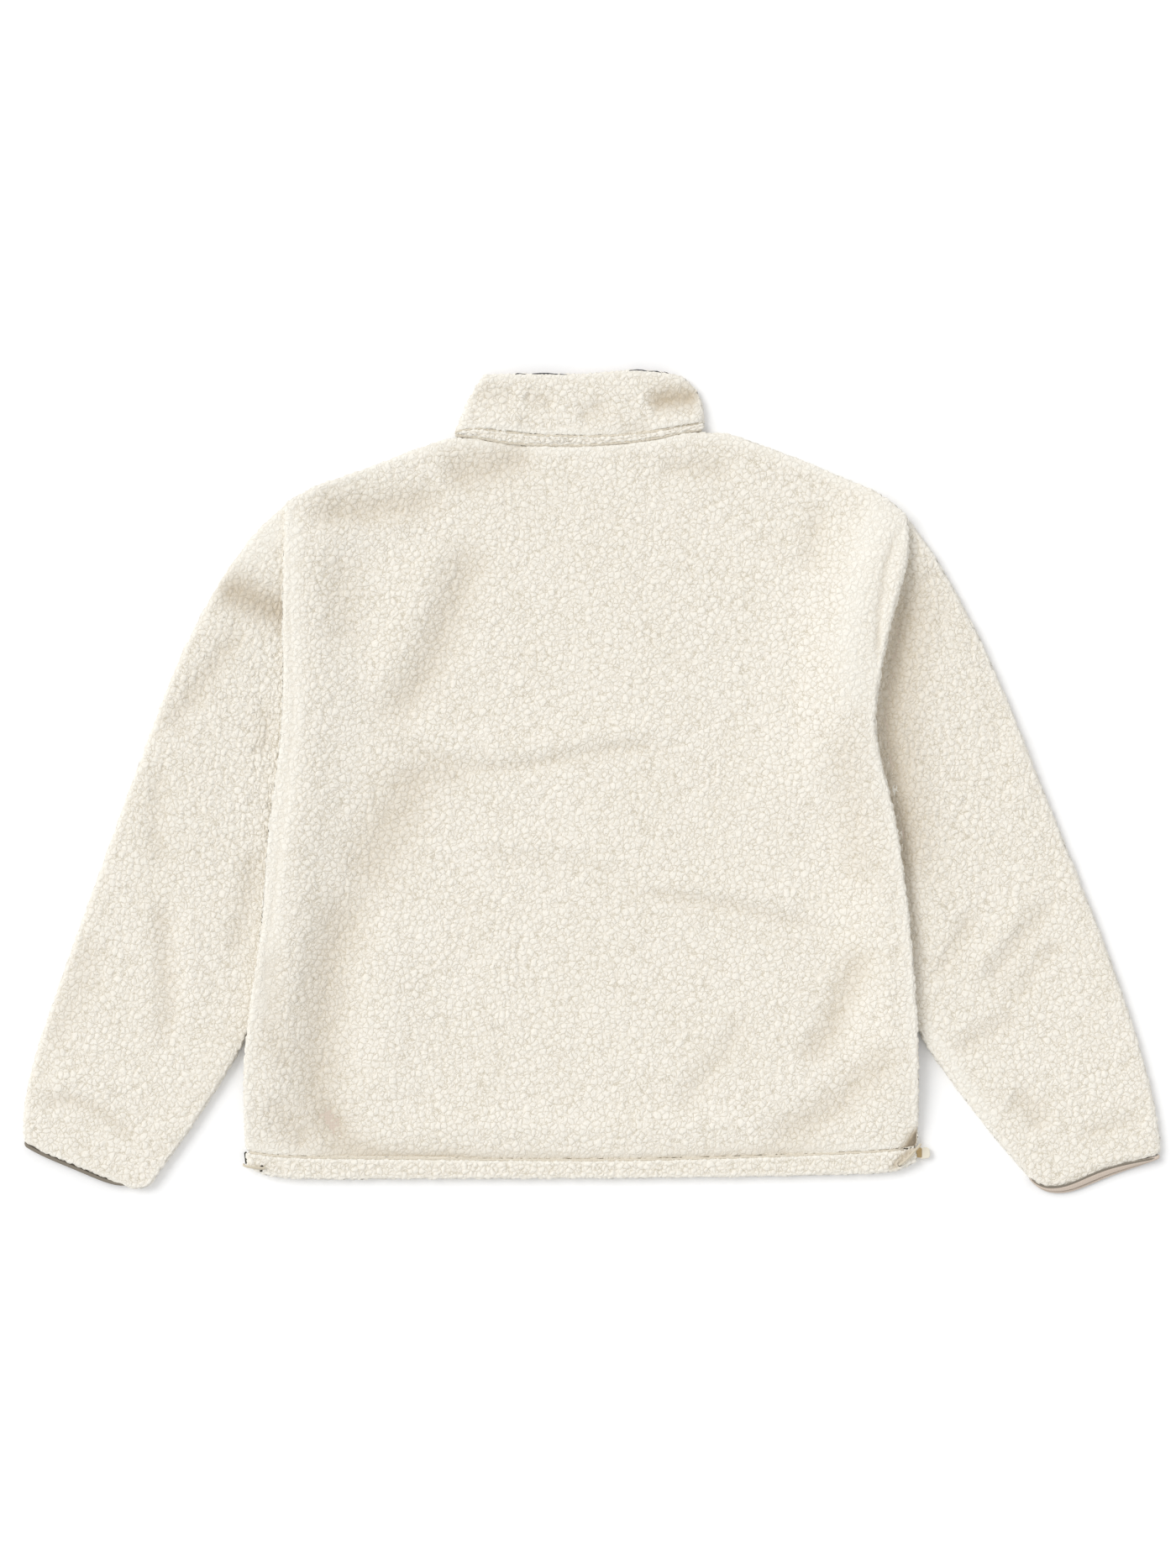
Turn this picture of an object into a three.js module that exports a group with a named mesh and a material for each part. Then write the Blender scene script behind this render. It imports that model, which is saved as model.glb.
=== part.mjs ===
// A sherpa fleece pullover that lies flat on its front, so its back is up. Millimetres, +Z up.
// +Y runs from the hem to the collar and +X to the wearer's right.
// Every piece of cloth is a wall made from a grid of points and the same grid moved by the wall.
import * as THREE from "three";

// Cloth
const CLOTH = 5; // sherpa with its knit backing, pile and all
const GAP = 0.3; // between sewn pieces, and between layers that lie on each other
const LAYER = CLOTH + GAP; // underside of a second layer
const PAIR = LAYER + CLOTH; // height of two layers
const FOLD = PAIR / 2; // radius of a folded edge
const ROUND = 2; // how far a cut edge is rounded

// Body: a few points on each edge, from the hem up or from left to right
const LEFT_EDGE = [
  [-300, 10], [-304, 55], [-302, 120], [-287, 228], [-282, 310], [-270, 400], [-269, 535], [-266, 606],
];
const RIGHT_EDGE = [
  [296, 8], [299, 50], [298, 132], [290, 235], [277, 330], [259, 398], [266, 457], [279, 515],
  [291, 552], [289, 594],
];
const HEM_EDGE = [[-301, 13], [-291, 5.5], [-277, 1.5], [-100, 0], [100, 1], [243, 4], [281, 7], [297, 15]];
const HEM_SEAM = [[-304, 25], [-278, 21], [-120, 18], [0, 17], [120, 19], [279, 26], [300, 29]];
const SHOULDERS_AND_NECK = [
  [-266, 604], [-237, 620], [-199, 633], [-161, 648], [-115.5, 664], [-95, 662], [-64, 656.5], [0, 654.5],
  [44, 658], [70, 662], [90, 667], [108, 669], [154, 658], [191, 644], [242, 622], [268, 610], [289, 592],
];
const COLLAR_SEAM = [
  [-115.5, 667.5], [-92, 671.5], [-59, 666], [0, 663.5], [52, 666], [81, 672], [108, 676],
];
const FRONT_NECK_DROP = 78; // of the hidden front neckline below the back's, at the centre
const UNDERARM = 0.625; // where the armhole ends, as a share of the side's height
const TIP_LEFT = 604;
const TIP_RIGHT = 592;

// The back laps over the sleeves, and lower down both layers of the body lie on the sleeves' inner edges
const LAP = 12; // of the back over the sleeve head and over the front's armhole edge
const LAP_RISE = PAIR + 0.5; // underside of what lies on a sleeve
const TUCK = 24; // the lifted strip along the body's sides
const TUCK_FADE = 75; // where it has come down again
const SIDE_COLUMNS = [0, 5, LAP, TUCK, 36, 52, TUCK_FADE];
const ROLL = { left: 2, right: 9 }; // extra wall where the back's edge is folded at the armhole
const LIFT_START = [40, 95]; // rows between which the sides rise from the surface
const LIFT_END = [318, 385]; // rows between which the front comes down again

// Sleeves, from the cuff up: the inner edge ends at the underarm and the outer edge at the shoulder tip
const SLEEVE_LEFT = {
  inner: [
    [-384, 2], [-361, 31], [-334, 71], [-310, 110], [-290, 150], [-275, 200], [-270, 250], [-273, 300],
    [-270, 340],
  ],
  outer: [
    [-500, 36], [-504, 62], [-493, 102], [-463, 190], [-428, 287], [-392, 385], [-356, 478], [-317, 547],
    [-283, 591],
  ],
  cuff: [[-384, 2], [-391, -5], [-403, -7], [-420, -2], [-442, 7], [-470, 19], [-494, 29], [-500, 36]],
};
const SLEEVE_RIGHT = {
  inner: [
    [396, 5], [370, 34], [338, 75], [318, 101], [302, 126], [289, 150], [278, 200], [271, 250], [271, 300],
    [268, 340],
  ],
  outer: [
    [515, 24], [516, 45], [502, 100], [474, 188], [436, 284], [405, 361], [368, 453], [325, 538],
    [292, 589],
  ],
  cuff: [[396, 5], [403, -4], [418, -12], [436, -9], [462, 3], [490, 13], [508, 18], [515, 24]],
};
const CUFF_BINDING = 3.5; // width of the binding along the sleeve
const BINDING_GAP = 0.6; // from the cuff to it, wider because both are curved
const BINDING_INSET = 0.7; // how much thinner it is than the cloth, on each face
const BINDING_ROUND = 0.3; // how far the collar binding's edges are rounded
const CUFF_GAPE = 9; // how far the right cuff's upper layer is drawn back
const STATIONS = 13; // rings along a sleeve

// Collar: its two fold edges and its top edge, then the trim on it
const COLLAR_LEFT = [[-115.5, 667.5], [-110, 682], [-101, 702], [-91, 718]];
const COLLAR_RIGHT = [[108, 676], [107.5, 688], [102, 705], [88, 717]];
const COLLAR_TOP = [[-91, 718], [-60, 719.5], [0, 719], [46, 723], [70, 721], [88, 717]];
const NECK_LEFT = [-115.5, -95, -70, -45]; // columns from the neck's left end to its centre
const NECK_RIGHT = [45, 70, 90, 108];
const BODY_LEFT = [-180, -148]; // columns of the body outside the neck
const BODY_RIGHT = [148, 180];
const COLLAR_STATIONS = [0, 0.1, 0.37, 0.63, 0.9, 1]; // of its height, from the seam up
const COLLAR_BINDING = 1.6; // width of the binding that shows at its top edge

// Neck opening at the centre front: a slit filled by a placket that four press studs close
const PLACKET_WIDTH = 30;
const SLIT = PLACKET_WIDTH / 2 + GAP; // half the width of the slit
const SLIT_SUPPORT = 4; // from the slit to the next column of the cloth around it
const STUD_RADIUS = 6;
const STUD_HEIGHT = 1;
const STUDS = 4;
const LOWEST_STUD = 18; // from the slit's lower end, and the highest from its upper end
const HIGHEST_STUD = 16;

// Drawcord and keeper tabs at the ends of the hem
const CORD_RADIUS = 1.2;
const TAB_THICKNESS = 2.2;
const TAB_EDGE = 0.4; // bevel round it
const CORD_HEIGHT = PAIR + GAP + CORD_RADIUS;

const COLOURS = {
  sherpa: 0xefe9dc,
  binding: 0x8f8578,
  charcoal: 0x55565a,
  cord: 0xe9e1cf,
  tab: 0xcdb68f,
  dark_tab: 0x5d5b4c,
  placket: 0x9b9286,
  stud: 0x8d8579,
};

const { clamp, lerp, mapLinear, smoothstep, degToRad } = THREE.MathUtils;
const garment = new THREE.Group();

function add(name, geometry, colour, roughness = 0.95) {
  const material = new THREE.MeshStandardMaterial({ color: colour, roughness });
  const mesh = new THREE.Mesh(geometry, material);
  mesh.name = name;
  garment.add(mesh);
}

// Curves

function curve(points) {
  const places = points.map(([x, y]) => new THREE.Vector3(x, y, 0));
  return new THREE.CatmullRomCurve3(places, false, "centripetal");
}

// Reads one coordinate of a curve at a value of the other, along which the curve never turns back
function reader(points, from = "x", to = "y") {
  const samples = curve(points).getPoints(400);
  return value => {
    const next = samples.findIndex(point => point[from] >= value);
    if (next <= 0) return samples.at(next)[to];
    const [a, b] = [samples[next - 1], samples[next]];
    return mapLinear(value, a[from], b[from], a[to], b[to]);
  };
}

// A straight-sided line through points at given shares of its length
function polyline(points, shares) {
  return share => {
    const next = Math.max(1, shares.findIndex(known => known >= share - 1e-9));
    const within = (share - shares[next - 1]) / (shares[next] - shares[next - 1]);
    return points[next - 1].clone().lerp(points[next], within);
  };
}

// A surface between four edges: s runs from start to end, t from left to right
function coons({ start, end, left, right }) {
  return (s, t) => {
    const across = start(t).clone().lerp(end(t), s);
    const along = left(s).clone().lerp(right(s), t);
    const low = start(0).clone().lerp(start(1), t);
    const high = end(0).clone().lerp(end(1), t);
    return across.add(along).sub(low.lerp(high, s));
  };
}

// Solids

// A closed wall between two grids of points. A ring closes on itself, open() leaves cells out,
// and rim() rounds the cut edge with one more point.
function shell(outer, inner, { ring = false, open = () => false, rim = null } = {}) {
  const columns = outer.length;
  const rows = outer[0].length;
  const points = [...outer.flat(), ...inner.flat()];
  const under = columns * rows;
  const faces = [];
  const quad = (a, b, c, d) => faces.push(a, b, c, a, c, d);
  const id = (i, j) => (i % columns) * rows + j;
  const edges = new Map();
  for (let i = 0; i < columns - (ring ? 0 : 1); i++) {
    for (let j = 0; j < rows - 1; j++) {
      if (open(i, j)) continue;
      const [a, b, c, d] = [id(i, j), id(i + 1, j), id(i + 1, j + 1), id(i, j + 1)];
      quad(a, b, c, d);
      quad(a + under, d + under, c + under, b + under);
      for (const edge of [[a, b], [b, c], [c, d], [d, a]]) edges.set(edge.join(" "), edge);
    }
  }
  const middles = new Map();
  const middle = index => {
    if (!middles.has(index)) {
      middles.set(index, points.push(rim(Math.floor(index / rows), index % rows)) - 1);
    }
    return middles.get(index);
  };
  for (const [a, b] of edges.values()) {
    if (edges.has(`${b} ${a}`)) continue;
    if (rim) {
      quad(b, a, middle(a), middle(b));
      quad(middle(b), middle(a), a + under, b + under);
    } else {
      quad(b, a, a + under, b + under);
    }
  }
  return solid(points, faces);
}

// Faces are turned outwards where the grid ran the other way round
function solid(points, faces) {
  let volume = 0;
  for (let k = 0; k < faces.length; k += 3) {
    const [a, b, c] = [points[faces[k]], points[faces[k + 1]], points[faces[k + 2]]];
    volume += a.dot(b.clone().cross(c));
  }
  const geometry = new THREE.BufferGeometry().setFromPoints(points);
  geometry.setIndex(volume > 0 ? faces : faces.toReversed());
  geometry.computeVertexNormals();
  return geometry;
}

// A flat piece: plan[i][j] is its outline and inner points, floor(i, j) its underside and wall(i, j)
// its thickness
function panel(plan, floor, { wall = () => CLOTH, round = ROUND, open } = {}) {
  const lastColumn = plan.length - 1;
  const lastRow = plan[0].length - 1;
  const inset = (i, j) => {
    const point = plan[i][j].clone();
    const pull = other => point.addScaledVector(other.clone().sub(plan[i][j]).normalize(), round);
    if (i === 0) pull(plan[1][j]);
    if (i === lastColumn) pull(plan[lastColumn - 1][j]);
    if (j === 0) pull(plan[i][1]);
    if (j === lastRow) pull(plan[i][lastRow - 1]);
    return point;
  };
  const face = height => plan.map((column, i) => column.map((_, j) => {
    const { x, y } = inset(i, j);
    return new THREE.Vector3(x, y, height(i, j));
  }));
  const rim = (i, j) => new THREE.Vector3(plan[i][j].x, plan[i][j].y, floor(i, j) + wall(i, j) / 2);
  return shell(face((i, j) => floor(i, j) + wall(i, j)), face(floor), { open, rim });
}

// A flattened tube on a surface: its upper and lower layers join in a fold at t = 0 and at t = 1.
// upper and lower are the columns' shares across the tube, and shift moves a point along the tube.
function tube(surface, stations, { upper, lower, open, thin = 0, shift = point => point }) {
  const ringAt = (s, reach) => {
    const width = surface(s, 0).distanceTo(surface(s, 1));
    const turn = (degrees, far) => {
      const share = (FOLD - reach * Math.cos(degToRad(degrees))) / width;
      return { t: far ? 1 - share : share, z: FOLD + reach * Math.sin(degToRad(degrees)) };
    };
    const flat = (shares, side) => shares(s).map(t => ({ t, z: FOLD + side * reach }));
    const ring = [
      turn(0), turn(45), turn(90), ...flat(upper, 1), turn(90, true), turn(45, true), turn(0, true),
      turn(-45, true), turn(-90, true), ...flat(lower, -1).reverse(), turn(-90), turn(-45),
    ];
    return ring.map(({ t, z }) => shift(surface(s, t).setZ(z), s, t));
  };
  const grid = reach => {
    const rings = stations.map(s => ringAt(s, reach));
    return rings[0].map((_, i) => rings.map(ring => ring[i]));
  };
  return shell(grid(FOLD - thin), grid(GAP / 2 + thin), { ring: true, open });
}

// Body panels

const leftEdge = reader(LEFT_EDGE, "y", "x");
const rightEdge = reader(RIGHT_EDGE, "y", "x");
const hemEdge = reader(HEM_EDGE);
const hemSeam = reader(HEM_SEAM);
const backTop = reader(SHOULDERS_AND_NECK);
const collarSeam = reader(COLLAR_SEAM);
const [NECK_START, NECK_END] = [NECK_LEFT[0], NECK_RIGHT.at(-1)];

function steps(from, to, count) {
  return Array.from({ length: count }, (_, k) => lerp(from, to, k / count));
}

const ROW_SHARES = [0, ...steps(0.01, UNDERARM, 9), ...steps(UNDERARM, 0.99, 6), 0.99, 1];
const UNDERARM_ROW = ROW_SHARES.indexOf(UNDERARM);
const SLIT_ROW = UNDERARM_ROW + 1;
const height = share => lerp(hemSeam(-300), TIP_LEFT, share);

// The front neckline drops below the collar seam in a round scoop
function neckDrop(x) {
  const across = mapLinear(x, NECK_START, NECK_END, -1, 1);
  return Math.abs(across) < 1 ? FRONT_NECK_DROP * (1 - Math.abs(across) ** 3.2) : 0;
}

function frontTop(x) {
  const inNeck = x >= NECK_START && x <= NECK_END;
  return inNeck ? collarSeam(x) - GAP - neckDrop(x) : backTop(x);
}

// The front's edge runs inside the back's along the armhole and meets it below the underarm
const frontInset = share => LAP * smoothstep(height(share), 278, 313);

function bodyPlan(top, inset, centre) {
  const sideColumn = (depth, share) => inset(share) + depth * (TUCK - inset(share)) / TUCK;
  const depthAt = (depth, share) => (depth < TUCK ? sideColumn(depth, share) : depth);
  const middle = [...BODY_LEFT, ...NECK_LEFT, ...centre, ...NECK_RIGHT, ...BODY_RIGHT];
  const left = SIDE_COLUMNS.map(depth => share => leftEdge(height(share)) + depthAt(depth, share));
  const right = SIDE_COLUMNS.map(depth => share => {
    const side = lerp(hemSeam(296), TIP_RIGHT, share);
    return rightEdge(side) - depthAt(depth, share);
  });
  const columns = [...left, ...middle.map(x => () => x), ...right.reverse()];
  return columns.map(x => ROW_SHARES.map(share => {
    const low = hemSeam(x(0)) + GAP;
    return new THREE.Vector2(x(share), lerp(low, top(x(1)), share));
  }));
}

// Depth of a column from its side edge
function columnDepth(plan, i) {
  return SIDE_COLUMNS[Math.min(i, plan.length - 1 - i)] ?? TUCK_FADE;
}

const fade = depth => 1 - smoothstep(depth, TUCK, TUCK_FADE);
const rise = share => smoothstep(height(share), ...LIFT_START);
const frontShare = share => rise(share) * (1 - smoothstep(height(share), ...LIFT_END));

const frontPlan = bodyPlan(frontTop, frontInset, [-SLIT - SLIT_SUPPORT, -SLIT, SLIT, SLIT + SLIT_SUPPORT]);
const backPlan = bodyPlan(backTop, () => 0, [0]);

function frontFloor(i, j, plan = frontPlan) {
  return LAP_RISE * fade(columnDepth(plan, i)) * frontShare(ROW_SHARES[j]);
}

function backFloor(i, j) {
  const overSleeve = (LAP_RISE - LAYER) * fade(columnDepth(backPlan, i)) * rise(ROW_SHARES[j]);
  return LAYER + Math.max(frontFloor(i, j, backPlan), overSleeve);
}

// The folded edge of the back at the armhole is thicker than one layer
function backWall(i, j) {
  const roll = i < backPlan.length / 2 ? ROLL.left : ROLL.right;
  const side = height(ROW_SHARES[j]);
  const along = smoothstep(side, LIFT_END[0], LIFT_END[1]) * (1 - smoothstep(side, 545, 600));
  return CLOTH + roll * fade(columnDepth(backPlan, i)) * along;
}

const slitColumn = SIDE_COLUMNS.length + BODY_LEFT.length + NECK_LEFT.length + 1;
const slit = (i, j) => i === slitColumn && j >= SLIT_ROW;
add("front", panel(frontPlan, frontFloor, { open: slit }), COLOURS.sherpa);
add("back", panel(backPlan, backFloor, { wall: backWall }), COLOURS.sherpa);

// Hem casings

const CASING_SHARES = [0, 0.3, 0.75, 1]; // of its width, from the hem up

function casing(plan, floor) {
  const strip = plan.map(column => CASING_SHARES.map(share => {
    const { x, y } = column[0];
    return new THREE.Vector2(x, lerp(hemEdge(x), y - GAP, share));
  }));
  return panel(strip, () => floor);
}

add("hem_casing_front", casing(frontPlan, 0), COLOURS.sherpa);
add("hem_casing_back", casing(backPlan, LAYER), COLOURS.sherpa);

// Sleeves

const armRows = ROW_SHARES.slice(UNDERARM_ROW);
const armShares = armRows.map(share => (share - UNDERARM) / (1 - UNDERARM));

function headLine(column, side) {
  const points = frontPlan[column].slice(UNDERARM_ROW);
  return polyline(points.map(({ x, y }) => new THREE.Vector3(x + side * (GAP + 0.1), y, 0)), armShares);
}

// A curve of n points from a list of places, ended at a given point
function edgeTo(points, end) {
  const line = curve([...points, [end.x, end.y]]);
  return share => line.getPointAt(share);
}

function sleeve(name, shape, column, side, gape) {
  const head = headLine(column, side);
  const cuffLine = curve(shape.cuff);
  const surface = coons({
    start: t => cuffLine.getPointAt(t),
    end: head,
    left: edgeTo(shape.inner, head(0)),
    right: edgeTo(shape.outer, head(1)),
  });
  const flats = () => armShares.slice(1, -2);
  const out = surface(0, 0.5).sub(surface(0.1, 0.5)).setZ(0).normalize();
  const drawnBack = (point, s, t) => {
    const upper = Math.max(0, point.z - FOLD) / FOLD;
    const fading = 1 - smoothstep(s, 0, 0.16);
    return point.addScaledVector(out, -gape * upper * fading * Math.sin(Math.PI * t));
  };
  const stations = [0, 0.012, ...steps(1 / STATIONS, 1, STATIONS - 1), 0.985, 1];
  add(name, tube(surface, stations, { upper: flats, lower: flats, shift: drawnBack }), COLOURS.sherpa);

  const bound = (s, t) => surface(0, t).addScaledVector(out, BINDING_GAP + CUFF_BINDING * s);
  const binding = tube(bound, [0, 1], {
    upper: flats,
    lower: flats,
    thin: BINDING_INSET,
    shift: (point, s, t) => drawnBack(point, 0, t),
  });
  add(name.replace("sleeve", "cuff_binding"), binding, COLOURS.binding, 0.8);
}

sleeve("sleeve_left", SLEEVE_LEFT, 0, -1, 0);
sleeve("sleeve_right", SLEEVE_RIGHT, frontPlan.length - 1, 1, CUFF_GAPE);

// Collar, neck band and collar binding

const neckShare = x => mapLinear(x, NECK_START, NECK_END, 0, 1);
const seamColumns = [...NECK_LEFT, 0, ...NECK_RIGHT];
const seamLine = polyline(
  seamColumns.map(x => new THREE.Vector3(x, collarSeam(x), 0)),
  seamColumns.map(neckShare),
);
const frontColumns = [...NECK_LEFT, -SLIT - SLIT_SUPPORT, -SLIT, SLIT, SLIT + SLIT_SUPPORT, ...NECK_RIGHT];
const dropLine = polyline(
  frontColumns.map(x => new THREE.Vector3(x, neckDrop(x), 0)),
  frontColumns.map(neckShare),
);
const collarTop = curve(COLLAR_TOP);
const collarEdges = [COLLAR_LEFT, COLLAR_RIGHT].map(curve);
const collarSurface = coons({
  start: seamLine,
  end: t => collarTop.getPointAt(t),
  left: s => collarEdges[0].getPointAt(s),
  right: s => collarEdges[1].getPointAt(s),
});

// The lower layer's columns keep the placket's slit the same width up to the collar's top edge
function slitColumns(s) {
  const [left, right] = [collarSurface(s, 0).x, collarSurface(s, 1).x];
  return frontColumns.slice(1, -1).map(x => {
    const edge = x < 0 ? left : right;
    const start = x < 0 ? NECK_START : NECK_END;
    const placed = mapLinear(x, start, Math.sign(x) * SLIT, edge, Math.sign(x) * SLIT);
    return mapLinear(placed, left, right, 0, 1);
  });
}

function dropped(point, s, t) {
  const drop = point.z < FOLD ? dropLine(clamp(t, 0, 1)).y : 0;
  return point.setY(point.y - drop);
}

const upperNeck = () => seamColumns.slice(1, -1).map(neckShare);
const upperCount = seamColumns.length - 2;
// Ring points before the slit: three on the left fold, the upper columns, five on the right fold
const slitPlace = 3 + upperCount + 5 + NECK_RIGHT.length;
const collar = tube(collarSurface, COLLAR_STATIONS, {
  upper: upperNeck,
  lower: slitColumns,
  open: i => i === slitPlace,
  shift: dropped,
});
add("collar", collar, COLOURS.sherpa);

const collarBindingPlan = [0.03, ...upperNeck(), 0.97].map(t => [GAP, GAP + COLLAR_BINDING].map(up => {
  const edge = collarSurface(1, t);
  return new THREE.Vector2(edge.x, edge.y + up);
}));
const collarBinding = panel(collarBindingPlan, () => LAYER + BINDING_INSET, {
  wall: () => CLOTH - 2 * BINDING_INSET,
  round: BINDING_ROUND,
});
add("collar_binding", collarBinding, COLOURS.charcoal, 0.7);

const bandPlan = seamColumns.map(x => [0, 0.35, 0.65, 1].map(share => {
  return new THREE.Vector2(x, lerp(backTop(x) + GAP, collarSeam(x) - GAP, share));
}));
add("neck_band", panel(bandPlan, () => LAYER), COLOURS.sherpa);

// Front placket and its press studs, under the front so that the garment still lies flat

const slitBottom = frontPlan[slitColumn][SLIT_ROW].y + GAP;
const placketTop = collarSurface(1, 0.5).y - FRONT_NECK_DROP;
const placketFloor = STUD_HEIGHT + 2 * GAP;
const placketColumns = [-1, -0.75, 0, 0.75, 1].map(share => share * PLACKET_WIDTH / 2);
const placketPlan = placketColumns.map(x => [0, 0.02, ...steps(0.15, 1, 6), 0.98, 1].map(share => {
  return new THREE.Vector2(x, lerp(slitBottom, placketTop, share));
}));
const placket = panel(placketPlan, () => placketFloor, { wall: () => CLOTH - placketFloor });
add("front_placket", placket, COLOURS.placket);

for (let k = 0; k < STUDS; k++) {
  const cap = new THREE.CylinderGeometry(STUD_RADIUS, STUD_RADIUS - 0.4, STUD_HEIGHT, 16);
  cap.rotateX(Math.PI / 2);
  const along = lerp(slitBottom + LOWEST_STUD, placketTop - HIGHEST_STUD, k / (STUDS - 1));
  cap.translate(0, along, GAP + STUD_HEIGHT / 2);
  add(`press_stud_${k + 1}`, cap, COLOURS.stud, 0.4);
}

// Drawcord where it shows at its two exits, and the keeper tabs at the side seams

function cord(name, places) {
  const route = new THREE.CatmullRomCurve3(places.map(place => new THREE.Vector3(...place)));
  const section = new THREE.Shape().absarc(0, 0, CORD_RADIUS, 0, 2 * Math.PI);
  const geometry = new THREE.ExtrudeGeometry(section, { extrudePath: route, steps: 8, curveSegments: 4 });
  add(name, geometry, COLOURS.cord, 0.8);
}

cord("drawcord_left", [
  [-284, 10, CORD_HEIGHT], [-291, 10.3, CORD_HEIGHT + 0.3], [-298, 11, CORD_HEIGHT], [-303.4, 12, 8.5],
  [-304, 13, 5],
]);
cord("drawcord_right", [
  [281, 12.5, CORD_HEIGHT], [288, 18, CORD_HEIGHT + 0.5], [295, 25.5, CORD_HEIGHT + 0.5],
  [301, 32, CORD_HEIGHT - 0.4],
]);

function tab(name, width, length, place, turn, colour) {
  const corner = Math.min(width, length) / 3;
  const [w, l] = [width / 2, length / 2];
  const outline = new THREE.Shape();
  outline.moveTo(-w, -l);
  outline.lineTo(w - corner, -l);
  outline.absarc(w - corner, -l + corner, corner, -Math.PI / 2, 0);
  outline.absarc(w - corner, l - corner, corner, 0, Math.PI / 2);
  outline.lineTo(-w, l);
  const geometry = new THREE.ExtrudeGeometry(outline, {
    depth: TAB_THICKNESS,
    bevelThickness: TAB_EDGE,
    bevelSize: TAB_EDGE,
    bevelSegments: 1,
    curveSegments: 4,
  });
  geometry.rotateZ(turn);
  geometry.translate(...place);
  add(name, geometry, colour, 0.85);
}

tab("keeper_tab_left", 3.5, 10, [-306, 22, 4], Math.PI + 0.1, COLOURS.dark_tab);
tab("keeper_tab_right", 8, 9, [305, 23, 4], 0.1, COLOURS.tab);

// The origin is under the middle of the whole garment
const box = new THREE.Box3().setFromObject(garment);
const middle = box.getCenter(new THREE.Vector3());
garment.position.set(-middle.x, -middle.y, -box.min.z);

export default garment;
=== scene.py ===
"""A cream sherpa fleece pullover, laid flat with its back up.

Each piece of cloth is a fine copy of its CAD solid, with folds placed one by one and the pile's curls as
relief.
The trims are smoothed copies of theirs, and the rows of stitches and the buttonholes are new."""
import math

import bmesh
import bpy
import numpy as np
from mathutils import Matrix, Vector, kdtree
from mathutils.bvhtree import BVHTree


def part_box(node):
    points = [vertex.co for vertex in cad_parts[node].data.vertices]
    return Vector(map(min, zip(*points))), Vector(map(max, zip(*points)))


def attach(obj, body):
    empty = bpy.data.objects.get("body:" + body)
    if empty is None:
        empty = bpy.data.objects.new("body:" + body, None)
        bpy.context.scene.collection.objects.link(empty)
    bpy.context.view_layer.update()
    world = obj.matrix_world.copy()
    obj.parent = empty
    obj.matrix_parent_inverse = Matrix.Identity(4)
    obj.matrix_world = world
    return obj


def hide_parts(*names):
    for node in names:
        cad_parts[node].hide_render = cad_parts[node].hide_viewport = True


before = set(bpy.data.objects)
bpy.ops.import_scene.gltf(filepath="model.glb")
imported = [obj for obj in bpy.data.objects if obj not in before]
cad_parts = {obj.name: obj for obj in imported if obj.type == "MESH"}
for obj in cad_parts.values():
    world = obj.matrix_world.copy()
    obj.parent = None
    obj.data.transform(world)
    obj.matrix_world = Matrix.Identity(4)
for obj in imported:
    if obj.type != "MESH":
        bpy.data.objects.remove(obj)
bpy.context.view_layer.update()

scene = bpy.context.scene
MM = 0.001

# Heights that the pieces share: the top of two layers that lie on each other, and the middle between them
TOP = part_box("hem_casing_back")[1][2]
MIDDLE = TOP / 2
ABOVE, BELOW = -1.0, 1.0  # a middle far below or far above: only the upper or the lower face is pile

# ---------------------------------------------------------------- camera, floor and light

LENS = 85.0
SENSOR = 36.0
FIELD = 1.400                      # height of the framed field on the surface, in metres
AIM = Vector((-0.0034, -0.0024))   # its middle, from the middle of the garment
SKY = 0.745                        # strength of the even light from all round
KEY_FROM, KEY, KEY_SPREAD = (-0.70, 0.42, 0.80), 1.5, 36
LAMP_AWAY = 3                      # metres; a sun's light doesn't depend on it
FLOOR_SIZE = 8                     # metres


def camera():
    data = bpy.data.cameras.new("camera")
    data.lens = LENS
    data.sensor_width = SENSOR
    eye = bpy.data.objects.new("camera", data)
    scene.collection.objects.link(eye)
    eye.location = (AIM.x, AIM.y, FIELD * LENS / SENSOR + TOP)
    scene.camera = eye


def light(name, toward, strength, spread):
    """A broad studio light, even all over the garment."""
    data = bpy.data.lights.new(name, "SUN")
    data.energy = strength
    data.angle = math.radians(spread)
    lamp = bpy.data.objects.new(name, data)
    scene.collection.objects.link(lamp)
    lamp.location = Vector(toward) * LAMP_AWAY
    lamp.rotation_euler = (-Vector(toward)).to_track_quat("-Z", "Y").to_euler()


def linear(hex_colour):
    parts = [int(hex_colour[k:k + 2], 16) / 255 for k in (1, 3, 5)]
    return tuple(c / 12.92 if c <= 0.04045 else ((c + 0.055) / 1.055) ** 2.4 for c in parts) + (1.0,)


def studio():
    world = bpy.data.worlds.new("studio")
    world.use_nodes = True
    world.node_tree.nodes["Background"].inputs["Color"].default_value = linear("#FFFFFF")
    world.node_tree.nodes["Background"].inputs["Strength"].default_value = SKY
    scene.world = world
    scene.view_settings.view_transform = "Standard"
    light("key", KEY_FROM, KEY, KEY_SPREAD)

    bpy.ops.mesh.primitive_plane_add(size=FLOOR_SIZE, location=(0, 0, 0))
    made = bpy.context.object
    made.name = "floor"
    made.location.z = -0.1 * MM
    return made


camera()
floor = studio()

# ---------------------------------------------------------------- materials


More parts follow.
